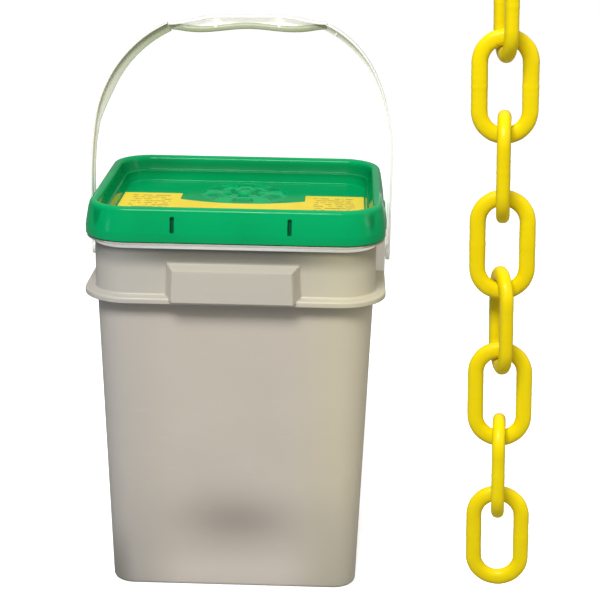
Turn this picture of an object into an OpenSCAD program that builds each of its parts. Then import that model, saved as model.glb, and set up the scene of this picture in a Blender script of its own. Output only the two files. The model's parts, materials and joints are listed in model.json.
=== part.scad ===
// Plastic barrier chain with its storage pail: a drafted rectangular pail with a press-on lid and a
// swinging bail, a coil of chain stored inside it, and a free length of the same chain hanging beside it.
// Frame: origin at the centre of the pail's base, +X to the right, +Y to the back, +Z up, millimetres.

/* [Pail] */
// Outer width at the base
pail_w = 221; // [216:1:223]
// Outer depth at the base
pail_d = 185; // [181:1:190]
// Outer corner radius at the base
pail_corner_r = 20.5; // [19:0.5:22]
// Height of the rim
rim_z = 348; // [347:0.5:348]
// Draft of the walls in degrees
wall_draft = 1.98; // [1.6:0.02:2.1]
// Wall thickness
wall = 2.4; // [2:0.1:2.6]
// Underside of the stacking flange
flange_z = 272.5; // [265:0.5:276]
// How far the stacking flange reaches past the base outline
flange_out = 20; // [18:0.5:20]
// Half width of the box grip's face
grip_half_w = 50.5; // [42:0.5:56]

/* [Lid] */
// Height of the crest above the base
lid_top_z = 355; // [354:0.5:357]
// Height of the skirt, from its lower edge to the crest
skirt_h = 29; // [27:0.5:29]
// Depth of the recessed panel below the crest
recess_h = 23; // [21:0.5:23]
// Thickness of the lid's walls
lid_wall = 2; // [1.6:0.1:2]

/* [Bail] */
// Height of the pivot above the base
pivot_z = 292; // [290:0.5:294]
// Height of the grip's upper edge
bail_top_z = 503; // [501:1:505]
// Radius of the pivot studs
stud_r = 4; // [3.5:0.1:4.5]

/* [Chain] */
// Outer length of a link
link_l = 76.2; // [76:0.1:78]
// Outer width of a link
link_w = 44.5; // [44:0.1:45.5]
// Width of the bar, seen on the link's face
bar_w = 11.15; // [10.8:0.05:11.2]
// Thickness of the bar, across the link's face
bar_t = 9.3; // [8.8:0.1:9.6]
// Height of the hanging chain's upper end
hang_top_z = 596; // [560:0.5:600]
// Lean of the hanging chain from the vertical, in degrees
hang_lean = 2; // [0:0.5:3]

/* [Hidden] */
$fn = 96;

// The walls, the flange and the lid all run round the same four corner centres.
corner_x = pail_w / 2 - pail_corner_r;
corner_y = pail_d / 2 - pail_corner_r;
draft = tan(wall_draft);
base_edge = 3;
floor_t = 3;

// Upper band of the pail, between the flange and the lid
band_r = pail_corner_r + 10.75;
flange_r = pail_corner_r + flange_out;
flange_t = 2.2;
flange_lip_h = 5;
flange_top_z = flange_z + flange_lip_h;
ring_r = 38;
ring_t = 2;
ring_top_z = lid_top_z - skirt_h - 0.8;
bead_out = 1.3;

// Box grips on the front and the back
grip_out = 15.75;
grip_flare = 6;
grip_top_z = flange_top_z + 29.5;
grip_slope = 3;
grip_bottom_z = flange_z + 3;
grip_wall = 2.2;
grip_reach = grip_half_w + grip_flare + 20;
grip_inset = 5;

// Bail ears on the left and the right
ear_out = 9.55;
ear_half_w = 13;
ear_wall = 3;
ear_face_x = corner_x + band_r + ear_out;
ear_lip = 3;
ear_pocket_h = 26;
stud_gap = 0.05;

// Lid section, as radii from the corner centres
skirt_r = 39;
crest_r = 31.4;
crest_round = 4.2;
skirt_bottom_z = lid_top_z - skirt_h;
crest_mid_z = lid_top_z - crest_round;
panel_z = lid_top_z - recess_h;
panel_r = 21.8;
recess_top_r = 24.2;
ledge_r = 22.6;
ledge_z = lid_top_z - 13.5;
slot_w = 3.6;
slot_h = 14;
slot_x = 49.3;
slot_shift = -1.7;
tab_front_y = -62;
tab_back_y = 18;
tab_out = 1;
tab_t = 3.6;
tab_h = 10;
rosette_y = 48;
rosette_r = 22;
rosette_bar_l = 80;
rosette_bar_w = 2.4;
rosette_h = 1.5;
gasket_r = 2.1;
label_t = 0.3;

// Bail strap: a flange outside and a web inside
strap_gap = 0.4;
strap_web = 2.2;
strap_flange = 1.8;
strap_flange_w = 12;
strap_web_w = 3.6;
strap_mid_x = ear_face_x + strap_gap + strap_web;
strand_end_r = 7;

// Each strand stands upright and then bends twice. The bail leans a little to the right, so its sides differ.
// Per side: height where the first bend starts, its radius and turn, the second bend's radius and turn,
// and the turn where the web starts to deepen, the turn that it takes, and its depth then
right_line = [bail_top_z - 124.3, 174.7, 24.6, 90.3, 41.9, 24.6, 41.9, 4.6];
left_line = [bail_top_z - 153, 390, 8.5, 116, 55.6, 5.5, 21, 7.6];
nick_turn = 57;
nick_half_w = 4;
nick_t = 1.4;

// Bail grip, round its own middle
grip_x = 5.2;
grip_end_x = 69;
grip_rise = 0.0175;
grip_top_half = 24;
grip_fall = 6;
grip_flange_t = 2;
grip_flange_w = 14;
grip_foot_w = 14;
grip_rib_x = 27.5;
grip_dip_x = 41.5;
grip_foot_t = 5.2;
grip_mid_drop = 13.05;
grip_wave = 1.45;
grip_end_rise = 2;

// Chain
link_gap = 0.3;
bar_r = bar_w / 2;
bend_r = (link_w - bar_w) / 2;
link_straight = link_l - link_w;
pitch = link_l - 2 * bar_w - link_gap;
hang_x = 192.7;
hang_y = -357;
face_turn = -5.8;
edge_turn = 84.2;
loose_turn = -82.8;
link_turns = [loose_turn, face_turn, edge_turn, face_turn, loose_turn, face_turn, edge_turn, face_turn];

// Stored coil: upright and flat links take turns, and every joint turns by the same angle.
links_per_turn = 8;
joint_turn = 360 / links_per_turn;
upright_span = link_l - bar_w;
flat_span = link_l - 4 * bar_w - 2 * link_gap + bar_w;
coil_climb = link_w + 1.5;
pair_climb = coil_climb / (links_per_turn / 2);
coil_tilt = asin(pair_climb / (upright_span + flat_span));
upright_plan = upright_span * cos(coil_tilt);
flat_plan = flat_span * cos(coil_tilt);
coil_r = sqrt(pow(upright_plan, 2) + pow(flat_plan, 2) + 2 * upright_plan * flat_plan * cos(joint_turn))
    / (2 * sin(joint_turn));
coil_start_z = floor_t + link_w / 2 + 2;

function arc(cx, cy, r, a0, a1, steps) =
    [for (i = [0:steps]) let (a = a0 + (a1 - a0) * i / steps) [cx + r * cos(a), cy + r * sin(a)]];

function wall_r(z) = pail_corner_r + draft * z;

// Sweeps a section round the corner centres. The section's x is the distance outside them, its y the height.
module around() {
    for (sx = [0, 1], sy = [0, 1])
        mirror([sx, 0, 0]) mirror([0, sy, 0]) translate([corner_x, corner_y, 0])
            rotate_extrude(angle = 90) children();
    for (side = [0, 1])
        mirror([side, 0, 0]) translate([corner_x, corner_y, 0]) rotate([90, 0, 0])
            linear_extrude(2 * corner_y) children();
    for (side = [0, 1])
        mirror([0, side, 0]) translate([-corner_x, corner_y, 0]) rotate([90, 0, 90])
            linear_extrude(2 * corner_x) children();
}

// A plate with round corners on the same centres
module plate(r, z, t) {
    translate([0, 0, z]) linear_extrude(t) {
        square([2 * corner_x + 2 * r, 2 * corner_y], center = true);
        square([2 * corner_x, 2 * corner_y + 2 * r], center = true);
        for (x = [-corner_x, corner_x], y = [-corner_y, corner_y]) translate([x, y]) circle(r);
    }
}

module pail_wall_section() {
    polygon(concat(
        arc(pail_corner_r - base_edge, base_edge, base_edge, -90, 0, 6),
        [
            [wall_r(flange_top_z - flange_t), flange_top_z - flange_t],
            [flange_r - flange_t, flange_top_z - flange_t],
            [flange_r - flange_t, flange_z],
            [flange_r, flange_z],
            [flange_r, flange_top_z - 1],
            [flange_r - 1, flange_top_z],
            [band_r, flange_top_z + 0.5],
            [band_r, ring_top_z - ring_t],
            [ring_r, ring_top_z - ring_t],
            [ring_r, ring_top_z],
            [band_r, ring_top_z],
            [band_r, rim_z - 12],
            [band_r + bead_out, rim_z - 9],
            [band_r + bead_out, rim_z - 3],
            [band_r, rim_z],
            [band_r - wall, rim_z],
            [band_r - wall, flange_top_z + 3],
            [wall_r(flange_z) - wall, flange_z],
            [wall_r(floor_t) - wall, floor_t],
            [wall_r(floor_t) - wall - 2, floor_t],
            [wall_r(floor_t) - wall - 2, 0]
        ]
    ));
}

// Side view of a box grip, from the band outward: x is the distance from the band, y the height
module grip_side(inset) {
    polygon([
        [-1, grip_bottom_z - (inset > 0 ? 20 : 0)],
        [grip_out - inset, grip_bottom_z - (inset > 0 ? 20 : 0)],
        [grip_out - inset, grip_top_z - grip_slope - inset],
        [-1, grip_top_z - inset]
    ]);
}

// Plan of a box grip: it narrows outward
module grip_plan(inset) {
    half_in = grip_half_w + grip_flare - inset;
    half_out = grip_half_w - inset;
    polygon([[-half_in, -1], [half_in, -1], [half_out, grip_out - inset], [-half_out, grip_out - inset]]);
}

module grip_block(inset) {
    width = 2 * (grip_half_w + grip_flare);
    intersection() {
        translate([0, 0, grip_bottom_z - 30]) linear_extrude(70) grip_plan(inset);
        rotate([90, 0, 90]) translate([0, 0, -width / 2]) linear_extrude(width) grip_side(inset);
    }
}

module at_grip(side) {
    mirror([0, side, 0]) translate([0, corner_y + band_r, 0]) children();
}

module ear(side) {
    pocket_x = ear_face_x - ear_wall;
    band_x = corner_x + band_r;
    mirror([side, 0, 0]) difference() {
        translate([band_x - 1, -ear_half_w, flange_top_z - 1])
            cube([ear_out + 1, 2 * ear_half_w, ring_top_z - flange_top_z]);
        translate([band_x, -ear_half_w + ear_lip, flange_top_z + ear_lip])
            cube([pocket_x - band_x, 2 * (ear_half_w - ear_lip), ear_pocket_h]);
        translate([pocket_x - 1, 0, pivot_z]) rotate([0, 90, 0])
            cylinder(h = ear_wall + 2, r = stud_r + stud_gap);
    }
}

module pail_body() {
    color([0.75, 0.71, 0.66]) {
        difference() {
            union() {
                around() pail_wall_section();
                for (side = [0, 1]) at_grip(side) grip_block(0);
            }
            for (side = [0, 1]) at_grip(side) difference() {
                grip_block(grip_wall);
                translate([-grip_reach, -grip_inset, grip_bottom_z - 40])
                    cube([2 * grip_reach, grip_inset, 90]);
            }
        }
        plate(wall_r(floor_t) - wall - 1.5, 0, floor_t);
        for (side = [0, 1]) ear(side);
    }
}

module lid_section() {
    inner_round = crest_round - lid_wall;
    polygon(concat(
        [[skirt_r, skirt_bottom_z]],
        arc(crest_r, crest_mid_z, crest_round, 0, 180, 12),
        [
            [recess_top_r, ledge_z + 1],
            [recess_top_r - 0.6, ledge_z],
            [ledge_r, ledge_z - 0.5],
            [panel_r, panel_z],
            [panel_r - 2, panel_z],
            [panel_r - 2, panel_z - lid_wall],
            [panel_r + lid_wall, panel_z - lid_wall],
            [ledge_r + lid_wall, ledge_z - 2.4],
            [recess_top_r + lid_wall, ledge_z - 0.8]
        ],
        arc(crest_r, crest_mid_z, inner_round, 180, 0, 8),
        [[skirt_r - lid_wall, skirt_bottom_z]]
    ));
}

// A raised rosette in the middle of the lid's panel: a ring, three bars and a boss
module rosette() {
    translate([0, rosette_y, panel_z]) {
        rotate_extrude() translate([rosette_r, 0])
            polygon([[-2.2, -0.5], [2.2, -0.5], [1.2, rosette_h], [-1.2, rosette_h]]);
        for (a = [0:60:120]) rotate([0, 0, a]) translate([-rosette_bar_l / 2, -rosette_bar_w / 2, -0.5])
            cube([rosette_bar_l, rosette_bar_w, rosette_h + 0.5]);
        translate([0, 0, -0.5]) cylinder(h = rosette_h + 1.2, r1 = 9, r2 = 6);
    }
}

module lid() {
    color([0.0, 0.58, 0.3]) difference() {
        union() {
            around() lid_section();
            plate(panel_r - 1.5, panel_z - lid_wall, lid_wall);
            rosette();
            for (side = [0, 1]) mirror([side, 0, 0])
                translate([corner_x + skirt_r + tab_out - tab_t, tab_front_y, skirt_bottom_z + 1])
                    cube([tab_t, tab_back_y - tab_front_y, tab_h]);
        }
        for (x = [-slot_x, slot_x], side = [0, 1]) mirror([0, side, 0])
            translate([x + slot_shift - slot_w / 2, corner_y + crest_r + 1.5, skirt_bottom_z + 8])
                cube([slot_w, 12, slot_h]);
    }
}

module lid_gasket() {
    color([0.85, 0.85, 0.8]) around() translate([crest_r, crest_mid_z]) circle(gasket_r, $fn = 48);
}

// The label covers the front of the panel, with two blocks and a shallow arc cut out between them.
module lid_label() {
    half_w = corner_x + panel_r - 1.2;
    front_y = -corner_y - panel_r + 1.2;
    block_y = 42;
    cut_half = 57;
    cut_low = 7;
    cut_high = 20;
    cut_r = (pow(cut_half, 2) + pow(cut_high - cut_low, 2)) / (2 * (cut_high - cut_low));
    corner = 19;
    color([0.98, 0.85, 0.36]) translate([0, 0, panel_z]) linear_extrude(label_t) difference() {
        union() {
            translate([-half_w + corner, front_y]) square([2 * (half_w - corner), block_y - front_y]);
            translate([-half_w, front_y + corner]) square([2 * half_w, block_y - front_y - corner]);
            for (x = [-1, 1]) translate([x * (half_w - corner), front_y + corner]) circle(corner);
        }
        translate([-cut_half, cut_high]) square([2 * cut_half, block_y]);
        intersection() {
            translate([0, cut_low + cut_r]) circle(cut_r);
            translate([-cut_half, 0]) square([2 * cut_half, block_y]);
        }
    }
}

// Sections of the strap's flange and its web: x outward, y along the object's depth
module flange_section() {
    translate([0, -strap_flange_w / 2]) square([strap_flange, strap_flange_w]);
}

module web_section() {
    translate([-strap_web, -strap_web_w / 2]) square([strap_web + 0.5, strap_web_w]);
}

// Centres of a strand's two bends, and the point at an offset from the strap's middle after a turn
function bend_1(line) = [strap_mid_x - line[1], line[0]];
function bend_2(line) = bend_1(line) + (line[1] - line[3]) * [cos(line[2]), sin(line[2])];
function strap_point(line, turn, off) = turn < line[2]
    ? bend_1(line) + (line[1] + off) * [cos(turn), sin(turn)]
    : bend_2(line) + (line[3] + off) * [cos(turn), sin(turn)];

// Depth of the web: it grows round the shoulder, up to the grip
function web_depth(line, turn) = strap_web
    + (line[7] - strap_web) * sin(90 * min(1, max(0, turn - line[5]) / line[6]));

module strap_bend(centre, start, turn, radius) {
    translate([centre[0], 0, centre[1]]) rotate([90, 0, 0]) rotate([0, 0, start])
        rotate_extrude(angle = turn) translate([radius, 0]) children();
}

module bail_strand(line) {
    steps = 36;
    turns = [for (i = [0:steps]) (line[2] + line[4]) * i / steps];
    translate([strap_mid_x, 0, pivot_z]) linear_extrude(line[0] - pivot_z) {
        flange_section();
        web_section();
    }
    strap_bend(bend_1(line), 0, line[2], line[1]) flange_section();
    strap_bend(bend_2(line), line[2], line[4], line[3]) flange_section();
    rotate([90, 0, 0]) translate([0, 0, -strap_web_w / 2]) linear_extrude(strap_web_w) polygon(concat(
        [for (a = turns) strap_point(line, a, 0.5)],
        [for (i = [steps:-1:0]) strap_point(line, turns[i], -web_depth(line, turns[i]))]
    ));
    translate([strap_mid_x - strap_web, 0, pivot_z]) rotate([0, 90, 0])
        cylinder(h = strap_web + strap_flange, r = strand_end_r);
    translate([ear_face_x - ear_wall - 0.3, 0, pivot_z]) rotate([0, 90, 0])
        cylinder(h = ear_wall + strap_gap + 0.8, r = stud_r);
    translate([ear_face_x - ear_wall - 2.3, 0, pivot_z]) rotate([0, 90, 0])
        cylinder(h = 2, r1 = stud_r - 0.5, r2 = stud_r + 1);
}

// A small rib across the web, beside the grip's right end
module bail_nick() {
    depth = web_depth(right_line, nick_turn) + 0.4;
    place = strap_point(right_line, nick_turn, 0);
    translate([place[0], 0, place[1]]) rotate([0, -nick_turn, 0])
        translate([-depth, -nick_half_w, -nick_t / 2]) cube([depth + 0.5, 2 * nick_half_w, nick_t]);
}

// Lower edge of the grip: a hump in the middle, a dip on each side of it, and a rise to each end
function grip_low(x) = bail_top_z - grip_mid_drop + grip_rise * x + (abs(x) < grip_dip_x
    ? grip_wave * cos(180 * x / grip_dip_x)
    : -grip_wave + grip_end_rise / 2 * (1 - cos(180 * (abs(x) - grip_dip_x) / (grip_end_x - grip_dip_x))));

// Upper edge of the grip: flat in the middle, then down to the strap
function grip_high(x) = bail_top_z + grip_rise * x
    - grip_fall / 2 * (1 - cos(180 * max(0, abs(x) - grip_top_half) / (grip_end_x - grip_top_half)));

// A strip along the grip between two of its edges
module grip_strip(lower, upper, width) {
    steps = 32;
    xs = [for (i = [0:steps]) grip_end_x * (2 * i / steps - 1)];
    rotate([90, 0, 0]) translate([0, 0, -width / 2]) linear_extrude(width)
        polygon(concat([for (x = xs) [x, upper(x)]], [for (i = [steps:-1:0]) [xs[i], lower(xs[i])]]));
}

module bail_grip() {
    translate([grip_x, 0, 0]) {
        grip_strip(function(x) grip_high(x) - grip_flange_t, function(x) grip_high(x), grip_flange_w);
        grip_strip(function(x) grip_low(x) + 1, function(x) grip_high(x) - 0.5, strap_web_w);
        grip_strip(function(x) grip_low(x), function(x) grip_low(x) + grip_foot_t, grip_foot_w);
        for (x = [-grip_rib_x, grip_rib_x]) translate([x - 1, -grip_foot_w / 2, grip_low(x) + 1])
            cube([2, grip_foot_w, grip_high(x) - grip_low(x) - 2]);
    }
}

module bail_handle() {
    color([0.86, 0.85, 0.79]) {
        bail_strand(right_line);
        mirror([1, 0, 0]) bail_strand(left_line);
        bail_nick();
        bail_grip();
    }
}

// A link on its own centre, long axis Z, flat in XZ
module link() {
    section_w = bar_w + 1;
    for (side = [0, 1]) mirror([0, 0, side]) translate([0, 0, link_straight / 2]) rotate([90, 0, 0])
        rotate_extrude(angle = 180) translate([bend_r, 0]) intersection() {
            circle(bar_r);
            square([section_w, bar_t], center = true);
        }
    for (x = [-bend_r, bend_r]) translate([x, 0, -link_straight / 2]) linear_extrude(link_straight)
        intersection() {
            circle(bar_r);
            square([section_w, bar_t], center = true);
        }
}

// A link of the hanging length, counted from the top
module hanging_link(number) {
    color([0.93, 0.86, 0.02])
        translate([hang_x, hang_y, hang_top_z]) rotate([0, -hang_lean, 0])
            translate([0, 0, -link_l / 2 - (number - 1) * pitch])
                rotate([0, 0, link_turns[number - 1]]) link();
}

// One turn of the stored coil. Each pair is an upright link and the flat link after it.
module stored_turn(number) {
    pairs = links_per_turn / 2;
    upright_mid = sqrt(pow(coil_r, 2) - pow(upright_plan / 2, 2));
    flat_mid = sqrt(pow(coil_r, 2) - pow(flat_plan / 2, 2));
    color([0.93, 0.86, 0.02]) for (i = [0:pairs - 1]) {
        z = coil_start_z + coil_climb * (number - 1) + pair_climb * i;
        rotate([0, 0, 2 * joint_turn * i]) translate([0, -upright_mid, z])
            rotate([0, 90 - coil_tilt, 0]) link();
        rotate([0, 0, 2 * joint_turn * i + joint_turn]) translate([0, -flat_mid, z + pair_climb / 2])
            rotate([0, 90 - coil_tilt, 0]) rotate([0, 0, 90]) link();
    }
}

pail_body();
lid();
lid_gasket();
lid_label();
bail_handle();
for (i = [1:8]) hanging_link(i);
for (i = [1:5]) stored_turn(i);
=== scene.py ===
"""Looks of the plastic barrier chain and its storage pail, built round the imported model.

Sizes are in millimetres, in the part's own frame, and new_piece() turns them into metres."""

import json
import math
from typing import NamedTuple

import bmesh
import bpy
from mathutils import Matrix, Vector


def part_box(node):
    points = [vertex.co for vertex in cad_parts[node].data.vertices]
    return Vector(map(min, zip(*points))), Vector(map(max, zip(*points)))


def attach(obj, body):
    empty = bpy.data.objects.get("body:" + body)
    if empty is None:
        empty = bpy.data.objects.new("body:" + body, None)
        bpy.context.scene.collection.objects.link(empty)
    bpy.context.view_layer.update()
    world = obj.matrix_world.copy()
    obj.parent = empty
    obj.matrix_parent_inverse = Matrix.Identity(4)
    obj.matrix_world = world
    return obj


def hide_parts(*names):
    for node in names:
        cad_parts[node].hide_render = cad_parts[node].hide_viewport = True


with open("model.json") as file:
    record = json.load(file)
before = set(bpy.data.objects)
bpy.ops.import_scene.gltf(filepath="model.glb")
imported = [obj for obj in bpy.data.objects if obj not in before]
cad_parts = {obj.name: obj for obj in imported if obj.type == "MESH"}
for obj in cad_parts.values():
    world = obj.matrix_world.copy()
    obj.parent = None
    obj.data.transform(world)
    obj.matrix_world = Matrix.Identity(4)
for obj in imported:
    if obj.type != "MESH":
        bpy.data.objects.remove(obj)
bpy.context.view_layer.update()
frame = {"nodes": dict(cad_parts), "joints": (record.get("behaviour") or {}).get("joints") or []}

MM = 0.001


# ---------------------------------------------------------------- camera

LENS_MM = 96.0
SENSOR_MM = 36.0
CAMERA_AT = Vector((0.0919, -1.4018, 0.6787))
CAMERA_YAW = math.radians(-1.536)
CAMERA_TILT = math.radians(17.21)
CAMERA_ROLL = math.radians(0.889)


def make_camera():
    """A camera that looks along +Y, turned by its yaw, tilted down and rolled a little."""
    data = bpy.data.cameras.new("camera")
    data.lens = LENS_MM
    data.sensor_width = SENSOR_MM
    data.clip_end = 20
    camera = bpy.data.objects.new("camera", data)
    bpy.context.scene.collection.objects.link(camera)
    forward = Vector((
        math.sin(CAMERA_YAW) * math.cos(CAMERA_TILT),
        math.cos(CAMERA_YAW) * math.cos(CAMERA_TILT),
        -math.sin(CAMERA_TILT),
    ))
    level = Vector((math.cos(CAMERA_YAW), -math.sin(CAMERA_YAW), 0))
    upright = level.cross(forward)
    right = level * math.cos(CAMERA_ROLL) + upright * math.sin(CAMERA_ROLL)
    up = upright * math.cos(CAMERA_ROLL) - level * math.sin(CAMERA_ROLL)
    facing = Matrix((right, up, -forward)).transposed().to_4x4()
    camera.matrix_world = Matrix.Translation(CAMERA_AT) @ facing
    bpy.context.scene.camera = camera


make_camera()


# ---------------------------------------------------------------- sizes from the frame


def box_mm(node):
    """Lowest and highest corner of a CAD node, in millimetres."""
    low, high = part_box(node)
    return low / MM, high / MM


pail_high = box_mm("pail_body")[1]
lid_low, lid_high = box_mm("lid")
gasket_high = box_mm("lid_gasket")[1]
joint_of = {joint["name"]: joint for joint in frame["joints"]}

# The walls, the flange and the lid all run round the same four corner centres.
CREST_R = 31.4
GASKET_R = 2.1
corner_x = gasket_high.x - CREST_R - GASKET_R
corner_y = gasket_high.y - CREST_R - GASKET_R

lid_top = lid_high.z
skirt_bottom = lid_low.z
panel_z = lid_top - 23
pivot_z = joint_of["bail_swing"]["pos_m"][2] / MM


# ---------------------------------------------------------------- mesh helpers


def new_piece(name, verts, faces, body, slot, material, nodes=(), sharp=35):
    """A mesh piece from points in millimetres, which rides on a body and replaces CAD nodes."""
    mesh = bpy.data.meshes.new(name)
    mesh.from_pydata([Vector(v) * MM for v in verts], [], faces)
    mesh.validate()
    mesh.shade_smooth()
    mesh.set_sharp_from_angle(angle=math.radians(sharp))
    mesh.materials.append(material)
    piece = bpy.data.objects.new(name, mesh)
    bpy.context.scene.collection.objects.link(piece)
    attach(piece, body)
    if nodes:
        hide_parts(*nodes)
    return piece


def rounded(points, radius=1.0, radii=None, closed=False, steps=5):
    """The outline with its corners rounded. radii gives single corners another radius, by index."""
    radii = radii or {}
    out = []
    count = len(points)
    for i, point in enumerate(points):
        here = Vector(point)
        reach = radii.get(i, radius)
        if reach == 0 or (not closed and i in (0, count - 1)):
            out.append(here)
            continue
        before = Vector(points[i - 1]) - here
        after = Vector(points[(i + 1) % count]) - here
        turn = math.pi - before.angle(after)
        cut = min(reach * math.tan(turn / 2), 0.49 * before.length, 0.49 * after.length)
        start = here + before.normalized() * cut
        end = here + after.normalized() * cut
        for k in range(steps + 1):
            t = k / steps
            out.append(start * (1 - t) ** 2 + here * 2 * t * (1 - t) + end * t * t)
    return out


def arc(centre, radius, start, end, steps):
    """Points on an arc, with its angles in degrees."""
    out = []
    for k in range(steps + 1):
        a = math.radians(start + (end - start) * k / steps)
        out.append(Vector((centre[0] + radius * math.cos(a), centre[1] + radius * math.sin(a))))
    return out


def ring_samples(arc_steps=14, side_steps=10):
    """Stations round the four corners, anticlockwise from the right side: centre and angle."""
    signs = [(1, 1), (-1, 1), (-1, -1), (1, -1)]
    out = []
    for q, (sx, sy) in enumerate(signs):
        here = Vector((sx * corner_x, sy * corner_y))
        nx, ny = signs[(q + 1) % 4]
        there = Vector((nx * corner_x, ny * corner_y))
        for k in range(arc_steps + 1):
            out.append((here, math.radians(90 * q + 90 * k / arc_steps)))
        for k in range(1, side_steps):
            out.append((here.lerp(there, k / side_steps), math.radians(90 * (q + 1))))
    return out


def sweep(section, stations, closed=False, bulge=None):
    """Sweeps a section of (distance outside the corner centres, height) round the stations."""
    verts = []
    faces = []
    rows = len(section)
    for centre, angle in stations:
        for r, z in section:
            out = r + (bulge(centre, angle, r, z) if bulge else 0)
            verts.append((centre.x + out * math.cos(angle), centre.y + out * math.sin(angle), z))
    count = len(stations)
    for i in range(count):
        a = i * rows
        b = (i + 1) % count * rows
        for k in range(rows if closed else rows - 1):
            m = (k + 1) % rows
            faces.append((a + k, b + k, b + m, a + m))
    return verts, faces


def cap(rows, stations, row, upward):
    """One flat face across a swept ring."""
    ring = [i * rows + row for i in range(len(stations))]
    return tuple(ring) if upward else tuple(reversed(ring))


def joined(*parts):
    """Several (verts, faces) in one list."""
    verts = []
    faces = []
    for part_verts, part_faces in parts:
        base = len(verts)
        verts.extend(part_verts)
        faces.extend(tuple(base + k for k in face) for face in part_faces)
    return verts, faces


def soft_min(values, soft):
    return -soft * math.log(sum(math.exp(-v / soft) for v in values))


def soft_step(low, high, value):
    t = max(0.0, min(1.0, (value - low) / (high - low)))
    return t * t * (3 - 2 * t)


def grid(us, vs, point):
    """A sheet of quads over two lists of parameters. point(u, v) gives each vertex."""
    verts = [point(u, v) for v in vs for u in us]
    width = len(us)
    faces = []
    for j in range(len(vs) - 1):
        for i in range(width - 1):
            a = j * width + i
            faces.append((a, a + 1, a + 1 + width, a + width))
    return verts, faces


def span(low, high, steps):
    return [low + (high - low) * k / steps for k in range(steps + 1)]


def solidify(piece, thickness):
    """Gives a sheet a wall, on the side away from its faces."""
    shell = piece.modifiers.new("wall", "SOLIDIFY")
    shell.thickness = thickness * MM
    shell.offset = -1


# ---------------------------------------------------------------- materials


class NodeTree:
    """Short calls for a node tree. Its points are those of one output of the coordinate node."""

    def __init__(self, tree, coordinate):
        self.tree = tree
        self.place = tree.nodes.new("ShaderNodeTexCoord").outputs[coordinate]

    def link(self, source, target):
        self.tree.links.new(source, target)

    def noise(self, scale, detail=4.0, rough=0.55, place=None):
        node = self.tree.nodes.new("ShaderNodeTexNoise")
        node.inputs["Scale"].default_value = scale
        node.inputs["Detail"].default_value = detail
        node.inputs["Roughness"].default_value = rough
        self.link(place or self.place, node.inputs["Vector"])
        return node.outputs["Fac"]

    def scaled(self, x, y, z):
        node = self.tree.nodes.new("ShaderNodeMapping")
        node.inputs["Scale"].default_value = (x, y, z)
        self.link(self.place, node.inputs["Vector"])
        return node.outputs["Vector"]

    def axis(self, name):
        node = self.tree.nodes.new("ShaderNodeSeparateXYZ")
        self.link(self.place, node.inputs[0])
        return node.outputs[name]

    def remap(self, value, low, high, out_low=0.0, out_high=1.0):
        node = self.tree.nodes.new("ShaderNodeMapRange")
        node.interpolation_type = "SMOOTHSTEP"
        self.link(value, node.inputs["Value"])
        limits = {"From Min": low, "From Max": high, "To Min": out_low, "To Max": out_high}
        for socket, number in limits.items():
            node.inputs[socket].default_value = number
        return node.outputs["Result"]

    def math(self, operation, a, b=0.0):
        node = self.tree.nodes.new("ShaderNodeMath")
        node.operation = operation
        for socket, value in zip(node.inputs, (a, b)):
            if isinstance(value, (int, float)):
                socket.default_value = value
            else:
                self.link(value, socket)
        return node.outputs[0]

    def product(self, first, *others):
        for other in others:
            first = self.math("MULTIPLY", first, other)
        return first

    def seen(self):
        """1 where the camera sees the surface, and 0 for the light that it gives back."""
        return self.tree.nodes.new("ShaderNodeLightPath").outputs["Is Camera Ray"]

    def mix(self, factor, a, b):
        node = self.tree.nodes.new("ShaderNodeMix")
        node.data_type = "RGBA"
        self.link(factor, node.inputs["Factor"])
        for socket, value in zip(("A", "B"), (a, b)):
            target = next(s for s in node.inputs if s.name == socket and s.type == "RGBA")
            if isinstance(value, tuple):
                target.default_value = (*value, 1)
            else:
                self.link(value, target)
        return next(s for s in node.outputs if s.type == "RGBA")

    def bump(self, height, distance, strength=1.0, before=None):
        node = self.tree.nodes.new("ShaderNodeBump")
        node.inputs["Distance"].default_value = distance
        node.inputs["Strength"].default_value = strength
        self.link(height, node.inputs["Height"])
        if before is not None:
            self.link(before, node.inputs["Normal"])
        return node.outputs["Normal"]


class Nodes(NodeTree):
    """A new material with the patterns that all the moulded plastics share."""

    def __init__(self, name):
        self.material = bpy.data.materials.new(name)
        self.material.use_nodes = True
        super().__init__(self.material.node_tree, "Object")
        self.shader = self.tree.nodes["Principled BSDF"]

    def clouds(self, low=0.0, high=1.0):
        """A slow change over the whole piece."""
        return self.remap(self.noise(9.0), 0.35, 0.65, low, high)

    def polish(self, low, high, scale=60.0, detail=3.0):
        """Roughness that changes a little from spot to spot."""
        return self.remap(self.noise(scale, detail), 0.3, 0.7, low, high)

    def waves(self):
        """The waviness that the flow of the plastic leaves in a wall."""
        return self.bump(self.noise(28.0, 2.0), 0.0012, 0.15)

    def grain(self, strength, before=None):
        """The fine grain of the mould."""
        return self.bump(self.noise(900.0, 2.0), 0.0001, strength, before)

    def translucent(self, weight):
        """Light scatters a few millimetres into natural plastic."""
        self.set(Subsurface_Weight=weight, Subsurface_Scale=1.0)
        self.set(Subsurface_Radius=(0.004, 0.0035, 0.003))

    def set(self, **values):
        for key, value in values.items():
            socket = self.shader.inputs[key.replace("_", " ")]
            if isinstance(value, (int, float)):
                socket.default_value = value
            elif isinstance(value, tuple):
                socket.default_value = (*value, 1) if socket.type == "RGBA" else value
            else:
                self.link(value, socket)


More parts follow.
